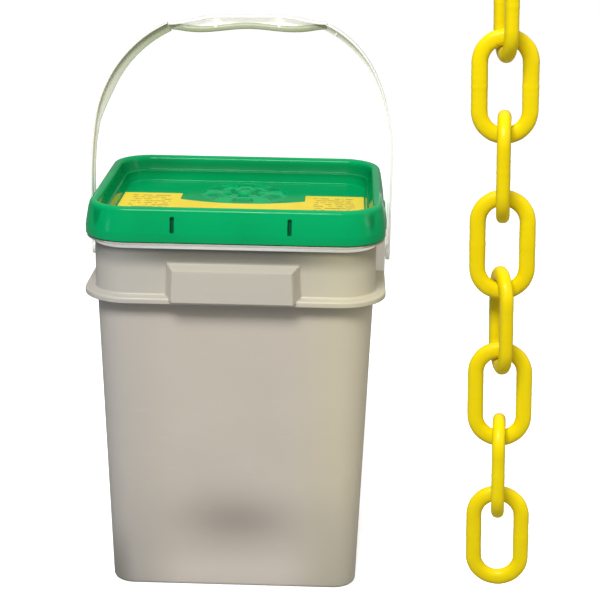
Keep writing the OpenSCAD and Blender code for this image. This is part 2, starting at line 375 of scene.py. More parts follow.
def moulded_plastic(name, colour, deep, roughness, grain, soft=0.0, gloss=0.5, painted_glow=0.0):
    """Moulded plastic: a slow colour change, fine grain and waviness.

    painted_glow is painted light: the part glows evenly, which makes it lighter as if light came
    through its thin wall and into its shaded places."""
    n = Nodes(name)
    n.set(Base_Color=n.mix(n.clouds(), deep, colour))
    n.set(Roughness=n.polish(roughness - 0.05, roughness + 0.06))
    n.set(Normal=n.grain(grain, n.waves()))
    n.set(IOR=1.5, Specular_IOR_Level=gloss)
    if soft:
        n.translucent(soft)
    if painted_glow:
        n.set(Emission_Color=(1.0, 0.98, 0.95), Emission_Strength=painted_glow)
    return n.material


# The pail's soft dark oval of painted shade: its middle and its reach, in metres
SHADE_OVAL_X = 0.003
SHADE_OVAL_Z = 0.067
SHADE_OVAL_REACH_X = 0.054
SHADE_OVAL_REACH_Z = 0.026
EULER = 2.718


def shade_oval_mask(n, x, y, z):
    """A soft oval of painted shade, low on the pail's front."""
    across = n.math("POWER", n.math("DIVIDE", n.math("ADD", x, -SHADE_OVAL_X), SHADE_OVAL_REACH_X), 2)
    along = n.math("POWER", n.math("DIVIDE", n.math("ADD", z, -SHADE_OVAL_Z), SHADE_OVAL_REACH_Z), 2)
    oval = n.math("POWER", EULER, n.math("MULTIPLY", n.math("ADD", across, along), -1.0))
    return n.product(oval, n.remap(y, -0.05, -0.08))


def pail_material():
    """Satin natural plastic with scuffs and dust near the base.

    The other tints are painted light and shade, not the plastic's own colour. Painted shade falls
    on the band, under the lid, under the flange, on the left side, low on the sides and in a soft
    dark oval low on the front. Painted light falls on the right side as a warm tint, low in the
    middle, and on the near-white glowing ring under the lid. The wall is also darker at the left
    foot."""
    n = Nodes("pail satin plastic")
    x, y, z = n.axis("X"), n.axis("Y"), n.axis("Z")
    off_middle = n.math("ABSOLUTE", x)
    on_band = n.remap(n.math("ABSOLUTE", y), 0.1040, 0.1055, 1.0, 0.0)
    ring = n.product(n.remap(z, 0.3186, 0.3192), n.remap(z, 0.3224, 0.3216))
    dust = n.product(n.remap(z, 0.0, 0.03, 0.5, 0.0), n.noise(40.0, 6.0))
    scuffs = n.remap(n.noise(1.0, 6.0, 0.6, n.scaled(30, 30, 260)), 0.62, 0.70)
    above_flange_shade = n.remap(z, 0.268, 0.276)
    under_flange_shade = n.product(n.remap(z, 0.256, 0.268), n.remap(z, 0.2725, 0.2715))
    under_lid_shade = n.product(n.remap(z, 0.298, 0.313), on_band)
    right_side_warm_light = n.remap(x, 0.035, 0.100)
    left_side_shade = n.remap(x, -0.040, -0.110)
    foot_sides_shade = n.product(n.remap(z, 0.130, 0.010), n.remap(off_middle, 0.035, 0.100))
    foot_middle_light = n.product(n.remap(z, 0.040, 0.012), n.remap(off_middle, 0.090, 0.030))
    left_foot = n.product(n.remap(x, -0.085, -0.104), n.remap(z, 0.070, 0.005))

    # Where, how strong and which colour. Each tint goes over the ones before it.
    tints = [
        (dust, 1.0, (0.38, 0.35, 0.31)),
        (scuffs, 0.18, (0.66, 0.62, 0.56)),
        # painted shade on the band above the flange
        (above_flange_shade, 0.5, (0.41, 0.40, 0.335)),
        # painted shadow under the lid's skirt
        (under_lid_shade, 0.88, (0.10, 0.10, 0.080)),
        # painted shadow under the flange
        (under_flange_shade, 0.5, (0.20, 0.175, 0.145)),
        # painted light: the ring under the skirt is tinted near white
        (ring, 1.0, (0.93, 0.92, 0.90)),
        # painted light: a warm yellow tint on the right side
        (right_side_warm_light, 0.5, (0.55, 0.50, 0.31)),
        # painted shade on the left side
        (left_side_shade, 0.5, (0.37, 0.355, 0.335)),
        # painted shade low on the sides
        (foot_sides_shade, 0.45, (0.30, 0.28, 0.25)),
        # painted light low in the middle of the walls
        (foot_middle_light, 0.45, (0.66, 0.60, 0.52)),
        # painted shade: a soft dark oval low on the front
        (shade_oval_mask(n, x, y, z), 0.85, (0.30, 0.262, 0.225)),
        (left_foot, 0.6, (0.16, 0.145, 0.12)),
    ]
    cloudy = n.remap(n.noise(6.0, 5.0), 0.3, 0.7)
    base = n.mix(cloudy, (0.500, 0.447, 0.381), (0.540, 0.484, 0.415))
    for where, strength, tint in tints:
        base = n.mix(n.product(where, strength), base, tint)
    n.set(Base_Color=base)
    # painted light: the ring under the skirt glows
    n.set(Emission_Color=n.mix(ring, (0.0, 0.0, 0.0), (1.0, 1.0, 1.0)), Emission_Strength=0.30)
    n.set(Roughness=n.polish(0.36, 0.50, 45.0, 4.0), IOR=1.5)
    wavy = n.bump(n.noise(14.0, 2.0), 0.0016, 0.12)
    n.set(Normal=n.bump(n.noise(1100.0, 2.0), 0.00008, 0.35, wavy))
    n.translucent(0.12)
    return n.material


def bail_rib_material(name, thin, thick, from_z, to_z, painted_glow):
    """The rib's plastic: pale low on the strand and darker higher up, towards the thick grip, with
    a glow of painted light.
    """
    n = Nodes(name)
    base = n.mix(n.remap(n.axis("Z"), from_z, to_z), thin, thick)
    n.set(Base_Color=n.mix(n.clouds(0.0, 0.12), base, (1.0, 1.0, 1.0)))
    n.set(Emission_Color=(0.97, 1.0, 0.86), Emission_Strength=painted_glow)
    n.set(Roughness=n.polish(0.34, 0.44), IOR=1.5)
    n.set(Normal=n.grain(0.2))
    n.translucent(0.15)
    return n.material


def lid_material():
    """Glossy green plastic, with painted shade down in the recess."""
    n = Nodes("lid gloss plastic")
    base = n.mix(n.clouds(), (0.0, 0.280, 0.086), (0.0, 0.312, 0.098))
    inside_x = n.remap(n.math("ABSOLUTE", n.axis("X")), 0.1200, 0.1175)
    inside_y = n.remap(n.math("ABSOLUTE", n.axis("Y")), 0.1020, 0.0995)
    low = n.remap(n.axis("Z"), (lid_top - 2) * MM, (lid_top - 7) * MM)
    wall = n.remap(n.axis("Z"), (panel_z + 3) * MM, (panel_z + 11) * MM, 0.08, 0.75)
    # painted shade down in the recess, strongest on its walls
    recess = n.product(n.product(inside_x, inside_y), n.product(low, wall))
    n.set(Base_Color=n.mix(recess, base, (0.0, 0.165, 0.045)))
    n.set(Roughness=n.polish(0.13, 0.22), IOR=1.5, Specular_IOR_Level=0.11)
    n.set(Normal=n.grain(0.10, n.waves()))
    return n.material


def rosette_material():
    """The lid's plastic in a lighter green as painted light, with painted shade in the hollows
    between the petals.
    """
    n = Nodes("rosette gloss plastic")
    # painted light: the rosette is a lighter green than the lid
    raised_lit = n.mix(n.clouds(), (0.0, 0.31, 0.098), (0.0, 0.35, 0.112))
    height = n.remap(n.axis("Z"), (panel_z + 0.1) * MM, (panel_z + 1.3) * MM)
    middle = n.math("ADD", n.axis("Y"), -ROSETTE_Y * MM)
    squares = n.math("ADD", n.math("POWER", n.axis("X"), 2), n.math("POWER", middle, 2))
    on_flower = n.remap(n.math("SQRT", squares), 0.040, 0.033)
    # painted shade in the hollows between the petals
    hollow_shade = n.product(n.math("SUBTRACT", 1.0, height), on_flower)
    n.set(Base_Color=n.mix(n.product(hollow_shade, 0.55), raised_lit, (0.0, 0.15, 0.045)))
    n.set(Roughness=n.polish(0.14, 0.24), IOR=1.5, Specular_IOR_Level=0.2)
    n.set(Normal=n.waves())
    return n.material


LABEL_ROW_PITCH = 0.0072


def label_material():
    """Coated yellow paper with rows of plain bars where a label has its print."""
    n = Nodes("label paper")
    x, y = n.axis("X"), n.axis("Y")
    cloudy = n.remap(n.noise(25.0, 4.0), 0.35, 0.65)
    paper = n.mix(cloudy, (0.77, 0.575, 0.025), (0.83, 0.63, 0.035))
    rows = n.math("FRACT", n.math("DIVIDE", y, LABEL_ROW_PITCH))
    row = n.product(n.remap(rows, 0.22, 0.30), n.remap(rows, 0.62, 0.70, 1.0, 0.0))
    words = n.remap(n.noise(1.0, 2.0, 0.5, n.scaled(260, 140, 1)), 0.46, 0.50)
    off_middle = n.math("ABSOLUTE", x)
    outer_edge = n.remap(off_middle, 0.101, 0.103, 1.0, 0.0)
    block = n.product(n.remap(off_middle, 0.064, 0.066), outer_edge)
    depth = n.product(n.remap(y, -0.030, -0.028), n.remap(y, 0.036, 0.038, 1.0, 0.0))
    ink = n.product(n.product(row, words), n.product(block, depth))
    n.set(Base_Color=n.mix(n.product(ink, 0.75), paper, (0.24, 0.17, 0.03)))
    n.set(Roughness=n.polish(0.34, 0.46, 300.0), IOR=1.46)
    n.set(Normal=n.bump(n.noise(500.0, 3.0), 0.00006, 0.4))
    return n.material


# The rosette's middle and radius on the lid, in millimetres
ROSETTE_Y = 48.0
ROSETTE_REACH = 43.0

PAIL = pail_material()
LID = lid_material()
GASKET = moulded_plastic("gasket foam", (0.62, 0.62, 0.58), (0.55, 0.55, 0.51), 0.75, 0.60)
ROSETTE = rosette_material()
# Painted shade: a near-black green for the plates behind the slots
SHADE = moulded_plastic(
    "lid shaded plastic", (0.0, 0.085, 0.035), (0.0, 0.065, 0.026), 0.45, 0.10, gloss=0.1
)
LABEL = label_material()
# Painted light: the ear glows a little, which lifts it out of its shade
EAR = moulded_plastic(
    "ear natural plastic", (0.60, 0.57, 0.46), (0.55, 0.52, 0.42), 0.42, 0.30, soft=0.12, painted_glow=0.16
)
BAIL = moulded_plastic(
    "bail natural plastic", (0.88, 0.87, 0.83), (0.83, 0.82, 0.77), 0.38, 0.20, soft=0.25
)
# Painted shade: the darker copy of the rib plastic, for the left rib and the grip's lower bar
SHADED_RIB = bail_rib_material(
    "bail shaded rib plastic", (0.55, 0.57, 0.50), (0.25, 0.29, 0.155), 0.400, 0.494, painted_glow=0.06
)
# Painted light: the paler copy of the rib plastic with a stronger glow, for the right rib
LIT_RIB = bail_rib_material(
    "bail lit rib plastic", (0.84, 0.84, 0.81), (0.42, 0.45, 0.34), 0.440, 0.488, painted_glow=0.22
)
# Painted light: the grip's thin web glows, which makes it pale under the plate's shade
THIN = moulded_plastic(
    "bail thin wall", (0.90, 0.89, 0.86), (0.86, 0.85, 0.81), 0.38, 0.20, soft=0.25, painted_glow=0.42
)
CHAIN = moulded_plastic(
    "chain yellow plastic", (0.77, 0.60, 0.0), (0.71, 0.54, 0.0), 0.36, 0.25, gloss=0.15
)


# ---------------------------------------------------------------- pail

FLOOR_T = 3.0
PAIL_WALL = 2.4
BASE_R = 20.5
DRAFT = math.tan(math.radians(1.98))
FLANGE_Z = 272.5
FLANGE_TOP = 277.5
FLANGE_R = BASE_R + 20
FLANGE_T = 2.2
BAND_R = BASE_R + 10.75
RING_R = 38.0
RING_TOP = skirt_bottom - 0.8
RIM_Z = pail_high.z
BEAD_R = BAND_R + 1.3
WALL_BULGE = 0.8


def wall_r(z):
    return BASE_R + DRAFT * z


def wall_bulge(centre, angle, r, z):
    """The long flat walls stand out a little half way between the corners."""
    if z > FLANGE_Z - 6 or z < 4 or r < BASE_R - 1:
        return 0
    facing = abs(math.sin(angle))
    if 0.01 < facing < 0.99:
        return 0
    off_middle = centre.x / corner_x if facing > 0.5 else centre.y / corner_y
    return WALL_BULGE * (1 - off_middle**2) * math.sin(math.pi * z / FLANGE_Z)


def pail_shell():
    outside = rounded(
        [(8, 1.2), (9.5, 0), (BASE_R, 0)]
        + [(wall_r(z), z) for z in (12, 60, 110, 160, 210, 255)]
        + [
            (wall_r(FLANGE_TOP - FLANGE_T), FLANGE_TOP - FLANGE_T),
            (FLANGE_R - FLANGE_T, FLANGE_TOP - FLANGE_T),
            (FLANGE_R - FLANGE_T, FLANGE_Z),
            (FLANGE_R, FLANGE_Z),
            (FLANGE_R, FLANGE_TOP),
            (BAND_R, FLANGE_TOP + 0.5),
            (BAND_R, RING_TOP - 2),
            (RING_R, RING_TOP - 2),
            (RING_R, RING_TOP),
            (BAND_R, RING_TOP),
            (BAND_R, RIM_Z - 12),
            (BEAD_R, RIM_Z - 9),
            (BEAD_R, RIM_Z - 3),
            (BAND_R, RIM_Z),
            (BAND_R - PAIL_WALL, RIM_Z),
            (BAND_R - PAIL_WALL, FLANGE_TOP + 3),
            (wall_r(FLANGE_Z) - PAIL_WALL, FLANGE_Z),
            (wall_r(FLOOR_T) - PAIL_WALL, FLOOR_T),
            (8, FLOOR_T),
        ],
        radius=1.0,
        radii={
            1: 0.6,
            2: 3.6,
            9: 2.0,
            10: 1.4,
            11: 0.7,
            12: 0.7,
            13: 2.0,
            14: 2.2,
            15: 1.2,
            16: 0.6,
            17: 0.6,
            26: 5.0,
        },
    )
    stations = ring_samples()
    verts, faces = sweep(outside, stations, bulge=wall_bulge)
    faces.append(cap(len(outside), stations, 0, False))
    faces.append(cap(len(outside), stations, len(outside) - 1, True))
    return new_piece("pail_shell", verts, faces, "pail", "pail_plastic", PAIL, ["pail_body"])


GRIP_HALF_IN = 56.5
GRIP_HALF_OUT = 50.5
GRIP_OUT = pail_high.y - corner_y - BAND_R
GRIP_TOP = 307.0
GRIP_SLOPE = 3.0
GRIP_BOTTOM = FLANGE_Z + 3
GRIP_FOOT_SOFT = 1.2


def grip_out(x, z):
    """How far the box grip stands out of the band: a plateau with sloping sides and top."""
    flare = 1.2 * (GRIP_TOP - z) / (GRIP_TOP - GRIP_BOTTOM)
    side = (GRIP_HALF_IN + flare - abs(x)) * GRIP_OUT / (GRIP_HALF_IN - GRIP_HALF_OUT)
    top = (GRIP_TOP - z) * GRIP_OUT / GRIP_SLOPE
    raw = soft_min((side, top, GRIP_OUT), 0.9)
    if raw >= 20:
        return raw
    return GRIP_FOOT_SOFT * math.log(1 + math.exp(min(raw / GRIP_FOOT_SOFT, 40)))


def box_grip(name, side):
    """A hollow box grip, open below. side is -1 at the front and 1 at the back."""
    face_y = corner_y + BAND_R
    across = span(-GRIP_HALF_IN - 4, GRIP_HALF_IN + 4, 104)
    upward = span(GRIP_BOTTOM, GRIP_TOP + 4, 34)

    def point(x, z):
        return (-side * x, side * (face_y + min(grip_out(x, z), GRIP_OUT) - 0.25), z)

    piece = new_piece(name, *grid(across, upward, point), "pail", "pail_plastic", PAIL)
    solidify(piece, PAIL_WALL - 0.2)
    return piece


EAR_HALF_W = 13.0
EAR_OUT = pail_high.x - corner_x - BAND_R
EAR_BOTTOM = FLANGE_TOP - 1
STUD_HOLE_R = 6.5


def ear_out(y, z):
    """How far the ear stands out of the band, with a dimple round the stud."""
    side = (EAR_HALF_W - abs(y)) * 5
    raw = soft_min((side, EAR_OUT), 0.7)
    away = math.hypot(y, z - pivot_z)
    dimple = 1.1 * (1 - soft_step(STUD_HOLE_R, STUD_HOLE_R + 1.5, away))
    return max(raw, 0) - dimple


def bail_ear(name, side):
    """The upright boss that the bail's stud turns in."""
    face_x = corner_x + BAND_R
    across = span(-EAR_HALF_W - 0.5, EAR_HALF_W + 0.5, 44)
    upward = span(EAR_BOTTOM, RING_TOP - 0.8, 44)

    def point(y, z):
        return (side * (face_x + min(ear_out(y, z), EAR_OUT) - 0.2), side * y, z)

    piece = new_piece(name, *grid(across, upward, point), "pail", "pail_plastic", EAR)
    solidify(piece, 2.6)
    return piece


# ---------------------------------------------------------------- lid

SKIRT_R = 39.0
CREST_ROUND = 4.2
LID_WALL = 2.0
PANEL_R = 21.8
LEDGE_Z = lid_top - 13.5
PANEL_EDGE_R = 12.0


def lid_section():
    """From under the panel, over the gasket, round the skirt and the crest, back to the panel."""
    crest_mid = lid_top - CREST_ROUND
    under = rounded(
        [
            (PANEL_EDGE_R, panel_z - LID_WALL),
            (PANEL_R + LID_WALL, panel_z - LID_WALL),
            (24.6, LEDGE_Z - 2.4),
            (26.2, LEDGE_Z - 0.8),
            (CREST_R - CREST_ROUND + LID_WALL, crest_mid - 3),
        ],
        radius=1.2,
    )
    inside = arc((CREST_R, crest_mid), CREST_ROUND - LID_WALL, 180, 0, 8)
    skirt = rounded(
        [
            (CREST_R + CREST_ROUND - LID_WALL, crest_mid - 3),
            (SKIRT_R - LID_WALL, skirt_bottom + 8),
            (SKIRT_R - LID_WALL, skirt_bottom),
            (SKIRT_R, skirt_bottom),
            (SKIRT_R, skirt_bottom + 7),
            (SKIRT_R - 1.3, skirt_bottom + 15),
            (CREST_R + CREST_ROUND + 0.7, crest_mid - 2),
        ],
        radius=0.6,
        radii={1: 4, 4: 12, 5: 16},
    )
    outside = arc((CREST_R, crest_mid), CREST_ROUND, 0, 180, 14)
    recess = rounded(
        [
            (CREST_R - CREST_ROUND - 0.2, crest_mid - 1.5),
            (24.4, LEDGE_Z + 1.2),
            (22.8, LEDGE_Z + 0.2),
            (PANEL_R, panel_z),
            (PANEL_EDGE_R, panel_z),
        ],
        radius=1.0,
        radii={1: 1.2, 2: 0.7, 3: 1.6},
    )
    return under + inside + skirt + outside + recess


def rosette_height(r, angle):
    """A generic flower in low relief: a boss, six petals and a ring."""
    boss = 2.6 * (1 - soft_step(5.5, 8, r))
    petal = soft_step(0.50, 0.70, 0.5 + 0.5 * math.cos(6 * angle))
    reach = soft_step(11, 14, r) * (1 - soft_step(34, 40, r))
    ring = soft_step(18.5, 20.5, r) * (1 - soft_step(23.5, 25.5, r))
    return max(boss, 2.0 * petal * reach, 1.6 * ring) - 0.25 * soft_step(40, ROSETTE_REACH, r)


def rosette_relief():
    radii = span(0.4, ROSETTE_REACH, 40)
    turns = 120

    def point(angle, r):
        z = panel_z + 0.02 + rosette_height(r, angle)
        return (r * math.cos(angle), ROSETTE_Y + r * math.sin(angle), z)

    angles = [2 * math.pi * k / turns for k in range(turns + 1)]
    verts, faces = grid(angles, radii, point)
    faces = [tuple(reversed(face)) for face in faces]
    faces.append(tuple(range(turns)))
    return verts, faces


SLOT_X = 49.3
SLOT_SHIFT = -1.7
SLOT_HALF_W = 1.8
SLOT_LOW = skirt_bottom + 8
SLOT_HIGH = SLOT_LOW + 14
SLOT_BACK_HALF_W = 3.4
SLOT_BACK_T = 0.7


def slot_cutter(x, side):
    """A bar with round ends that cuts one slot through the skirt."""
    near = corner_y + CREST_R + 2.6
    far = corner_y + SKIRT_R + 3
    outline = rounded(
        [
            (x - SLOT_HALF_W, SLOT_LOW),
            (x + SLOT_HALF_W, SLOT_LOW),
            (x + SLOT_HALF_W, SLOT_HIGH),
            (x - SLOT_HALF_W, SLOT_HIGH),
        ],
        radius=1.2,
        closed=True,
    )
    count = len(outline)
    verts = [(p.x, side * near, p.y) for p in outline] + [(p.x, side * far, p.y) for p in outline]
    faces = [tuple(range(count)), tuple(reversed(range(count, 2 * count)))]
    for k in range(count):
        m = (k + 1) % count
        faces.append((k, k + count, m + count, m))
    return verts, faces


def cut_slots(piece):
    """Cuts the four slots through the skirt and keeps the result as the piece's mesh."""
    cutters = [slot_cutter(x + SLOT_SHIFT, side) for x in (-SLOT_X, SLOT_X) for side in (-1, 1)]
    cut_verts, cut_faces = joined(*cutters)
    mesh = bpy.data.meshes.new("slots")
    mesh.from_pydata([Vector(v) * MM for v in cut_verts], [], cut_faces)
    cutter = bpy.data.objects.new("slots", mesh)
    bpy.context.scene.collection.objects.link(cutter)
    turned = bmesh.new()
    turned.from_mesh(mesh)
    bmesh.ops.recalc_face_normals(turned, faces=turned.faces)
    turned.to_mesh(mesh)
    turned.free()
    cut = piece.modifiers.new("slots", "BOOLEAN")
    cut.object = cutter
    cut.operation = "DIFFERENCE"
    cut.solver = "EXACT"
    bpy.context.view_layer.update()
    evaluated = piece.evaluated_get(bpy.context.evaluated_depsgraph_get())
    result = bpy.data.meshes.new_from_object(evaluated)
    piece.modifiers.clear()
    piece.data = result
    bpy.data.objects.remove(cutter)
    result.set_sharp_from_angle(angle=math.radians(35))


def lid_shell():
    section = lid_section()
    stations = ring_samples(18, 10)
    verts, faces = sweep(section, stations)
    faces.append(cap(len(section), stations, 0, False))
    faces.append(cap(len(section), stations, len(section) - 1, True))
    piece = new_piece("lid_shell", verts, faces, "lid", "lid_plastic", LID, ["lid"])
    cut_slots(piece)


def slot_backs():
    """Dark plates behind each slot, in painted shade, so that the slots look deep."""
    low, high = SLOT_LOW - 1, SLOT_HIGH + 0.6
    far, near = corner_y + SKIRT_R - 3.2, corner_y + CREST_R + 2.2
    faces = [(0, 2, 6, 4), (1, 5, 7, 3), (0, 1, 3, 2), (4, 6, 7, 5), (0, 4, 5, 1), (2, 3, 7, 6)]
    parts = []
    for x in (-SLOT_X, SLOT_X):
        for side in (-1, 1):
            verts = []
            for z, out in ((low, far), (high, near)):
                for dx in (-SLOT_BACK_HALF_W, SLOT_BACK_HALF_W):
                    for behind in (0.0, -SLOT_BACK_T):
                        verts.append((x + SLOT_SHIFT + dx, side * (out + behind), z))
            parts.append(facing_out((verts, faces), -side))
    return new_piece("slot_backs", *joined(*parts), "lid", "lid_plastic", SHADE)


TAB_FRONT = -62.0
TAB_BACK = 18.0
TAB_LOW = skirt_bottom + 1
TAB_HIGH = skirt_bottom + 11
TAB_OUT = lid_high.x - corner_x - SKIRT_R


def side_tab(name, side):
    """The grip tab on the skirt, under a bail strand."""
    face_x = corner_x + SKIRT_R - 0.9

    def point(y, z):
        away = min((y - TAB_FRONT) * 0.35, (TAB_BACK - y) * 1.2)
        lower = (z - TAB_LOW) * 3
        upper = (TAB_HIGH - z) * 1.2
        out = max(soft_min((away, lower, upper, TAB_OUT + 0.9), 0.4), -0.6)
        return (side * (face_x + out), y, z)

    part = grid(span(TAB_FRONT, TAB_BACK, 60), span(TAB_LOW, TAB_HIGH, 16), point)
    return new_piece(name, *facing_out(part, side), "lid", "lid_plastic", LID)


# ---------------------------------------------------------------- bail

STRAP_MID_X = pail_high.x + 2.6
STRAP_WEB = 2.2
GRIP_X = 5.2
GRIP_END = 69.0
GRIP_RISE = 0.0175
GRIP_TOP_HALF = 24.0
GRIP_DIP_X = 41.5
GRIP_BAR_T = 5.2
GRIP_RIB_X = 27.5
bail_top = box_mm("bail_handle")[1].z - GRIP_RISE * GRIP_TOP_HALF


class Strand(NamedTuple):
    """A strand stands upright, then bends twice, and its web deepens. Turns are in degrees."""

    bend_z: float
    radius: float
    turn: float
    next_radius: float
    next_turn: float
    deepen_from: float
    deepen_turn: float
    deep: float


# The bail leans a little to the right, so its sides differ: 1 is the right side and -1 the left
STRANDS = {
    1: Strand(bail_top - 124.3, 174.7, 24.6, 90.3, 41.9, 24.6, 41.9, 4.6),
    -1: Strand(bail_top - 153, 390.0, 8.5, 116.0, 55.6, 5.5, 21.0, 7.6),
}


def grip_low(x):
    """Lower edge of the grip: a hump in the middle, a dip on each side, a rise to each end."""
    edge = bail_top - 13.05 + GRIP_RISE * x
    past = (abs(x) - GRIP_DIP_X) / (GRIP_END - GRIP_DIP_X)
    if past < 0:
        return edge + 1.45 * math.cos(math.pi * x / GRIP_DIP_X)
    return edge - 1.45 + 1 - math.cos(math.pi * min(past, 1))


def grip_high(x):
    fall = min(max(0.0, abs(x) - GRIP_TOP_HALF) / (GRIP_END - GRIP_TOP_HALF), 1.0)
    return bail_top + GRIP_RISE * x - 3 * (1 - math.cos(math.pi * fall))


def ribbon(stations, edge=0.7):
    """A closed bar along stations of (point, normal, half width along Y, low, high).

    low and high are offsets along the normal."""
    verts = []
    faces = []
    for point, normal, half, low, high in stations:
        soft = min(edge, (high - low) * 0.45, half * 0.45)
        corners = [(-half, low), (half, low), (half, high), (-half, high)]
        for across, off in rounded(corners, radius=soft, closed=True, steps=4):
            verts.append((point[0] + normal[0] * off, across, point[1] + normal[1] * off))
    rows = len(verts) // len(stations)
    for i in range(len(stations) - 1):
        for k in range(rows):
            m = (k + 1) % rows
            faces.append((i * rows + k, i * rows + m, (i + 1) * rows + m, (i + 1) * rows + k))
    faces.append(tuple(reversed(range(rows))))
    faces.append(tuple(range((len(stations) - 1) * rows, len(stations) * rows)))
    return verts, faces


def unit(degrees):
    return Vector((math.cos(math.radians(degrees)), math.sin(math.radians(degrees))))


def strand_line(side, start_z=pivot_z):
    """The strap's middle, up and round its bends: point, outward normal, web depth."""
    strand = STRANDS[side]
    upright = span(start_z, strand.bend_z, 12)
    out = [((side * STRAP_MID_X, z), (side, 0.0), STRAP_WEB) for z in upright]
    centre = Vector((STRAP_MID_X - strand.radius, strand.bend_z))
    bends = (
        (strand.radius, 0.0, strand.turn, 14),
        (strand.next_radius, strand.turn, strand.next_turn, 34),
    )
    for radius, start, turn, steps in bends:
        centre += (strand.radius - radius) * unit(start)
        for angle in span(start, start + turn, steps)[1:]:
            normal = unit(angle)
            point = centre + normal * radius
            deepened = min(1.0, max(0.0, angle - strand.deepen_from) / strand.deepen_turn)
            depth = STRAP_WEB + (strand.deep - STRAP_WEB) * math.sin(math.pi / 2 * deepened)
            out.append(((side * point.x, point.y), (side * normal.x, normal.y), depth))
    return out


def facing_out(part, side):
    """Turns the faces over on the mirrored side, so that they all face out."""
    verts, faces = part
    return (verts, faces) if side > 0 else (verts, [tuple(reversed(face)) for face in faces])


def grip_bar(reach, steps, shape):
    """A bar along the grip. shape(x) gives its height, half width, low and high."""
    stations = []
    for x in span(-reach, reach, steps):
        z, half, low, high = shape(x)
        stations.append(((GRIP_X + x, z), (0.0, 1.0), half, low, high))
    return stations


def bail_flange():
    """The wide outer strap and the grip's upper plate."""
    parts = []
    for side in (-1, 1):
        line = strand_line(side)
        last = len(line) - 1
        stations = []
        for k, (point, normal, _) in enumerate(line):
            thick = 1.8 - 1.3 * soft_step(last - 5, last, k)
            stations.append((point, normal, 6.0, 0.0, thick))
        parts.append(facing_out(ribbon(stations), side))

    def plate(x):
        return grip_high(x), 7 - soft_step(48, 66, abs(x)), -2.0, 0.0

    parts.append(facing_out(ribbon(grip_bar(GRIP_END, 66, plate)), -1))
    return new_piece("bail_flange", *joined(*parts), "bail", "bail_plastic", BAIL, ["bail_handle"])


def bail_web():
    """The narrow inner rib of the strap, which runs on as the grip's lower bar."""

    def rib(side):
        line = strand_line(side, pivot_z + 8)
        return facing_out(ribbon([(p, n, 1.8, -depth, 0.3) for p, n, depth in line]), side)

    def lower_bar(x):
        return grip_low(x), 7 - 5 * soft_step(52, 68, abs(x)), 0.0, GRIP_BAR_T

    # The right rib takes the lit copy of the rib plastic; the left rib and the lower bar take the
    # shaded one.
    new_piece("bail_rib_right", *rib(1), "bail", "bail_plastic", LIT_RIB)
    parts = [rib(-1), facing_out(ribbon(grip_bar(GRIP_END, 68, lower_bar), 2.2), -1)]
    return new_piece("bail_rib", *joined(*parts), "bail", "bail_plastic", SHADED_RIB)


def bail_grip_web():
    """The upright web of the grip with its two cross ribs."""

    def web_high(x):
        return grip_high(x) - grip_low(x) - 1.0

    web = grip_bar(64, 60, lambda x: (grip_low(x), 1.8, 3.0, web_high(x)))
    parts = [facing_out(ribbon(web), -1)]
    for x in (-GRIP_RIB_X, GRIP_RIB_X):
        rib = [
            ((GRIP_X + across + x, grip_low(x)), (0.0, 1.0), 6.8, 2.0, web_high(x))
            for across in (-1.0, 0.0, 1.0)
        ]
        parts.append(facing_out(ribbon(rib), -1))
    return new_piece("bail_grip_web", *joined(*parts), "bail", "bail_plastic", THIN)


def bail_nick():
    """A small pale rib across the strap's web, beside the grip's right end."""
    point, normal, depth = strand_line(1)[-8]
    along = (-normal[1], normal[0])
    stations = []
    for t in (-0.7, 0.0, 0.7):
        place = (point[0] + along[0] * t, point[1] + along[1] * t)
        stations.append((place, normal, 3.8, -depth - 0.3, 0.3))
    return new_piece("bail_nick", *ribbon(stations, 0.4), "bail", "bail_plastic", BAIL)


def disc(centre_x, side, radius, low, high, soft, steps=36):
    """A round boss about the pivot line with softened edges, from one x to another."""
    profile = rounded([(0.01, low), (radius, low), (radius, high), (0.01, high)], radius=soft)
    verts = []
    faces = []
    for i in range(steps):
        a = 2 * math.pi * i / steps
        for r, off in profile:
            verts.append((side * (centre_x + off), r * math.cos(a), pivot_z + r * math.sin(a)))
    rows = len(profile)
    for i in range(steps):
        for k in range(rows - 1):
            a, b = i * rows, (i + 1) % steps * rows
            faces.append((a + k, b + k, b + k + 1, a + k + 1))
    return facing_out((verts, faces), side)


def bail_ends():
    """The round ends of the strap on the ears, with their studs."""
    parts = []
    for side in (-1, 1):
        parts.append(disc(STRAP_MID_X, side, 7.0, -2.2, 1.6, 0.8))
        parts.append(disc(STRAP_MID_X, side, 4.0, -5.9, 1.75, 0.4))
    return new_piece("bail_ends", *joined(*parts), "bail", "bail_plastic", BAIL)


# ---------------------------------------------------------------- chain

LINK_L = 76.2
LINK_W = 44.5
BAR_W = 11.15
BAR_T = 9.3
BEND_R = (LINK_W - BAR_W) / 2
STRAIGHT = LINK_L - LINK_W
LINK_COUNT = 8
WELD_HIGH = 0.16
WELD_REACH = 0.8
top_joint = Vector(joint_of["link_1_2"]["pos_m"])
bottom_joint = Vector(joint_of["link_7_8"]["pos_m"])
chain_up = (top_joint - bottom_joint).normalized()


def link_line():
    """The bar's middle round a link: point, outward normal, distance from mid-length."""
    out = []
    for x_side, z_side in ((1, 1), (-1, -1)):
        for z in span(-STRAIGHT / 2, STRAIGHT / 2, 22)[:-1]:
            out.append((Vector((x_side * BEND_R, z * z_side)), Vector((x_side, 0)), abs(z)))
        for a in span(0, math.pi, 22)[:-1]:
            normal = Vector((x_side * math.cos(a), z_side * math.sin(a)))
            centre = Vector((0, z_side * STRAIGHT / 2))
            mid = STRAIGHT / 2 + BEND_R * min(a, math.pi - a)
            out.append((centre + normal * BEND_R, normal, mid))
    return out


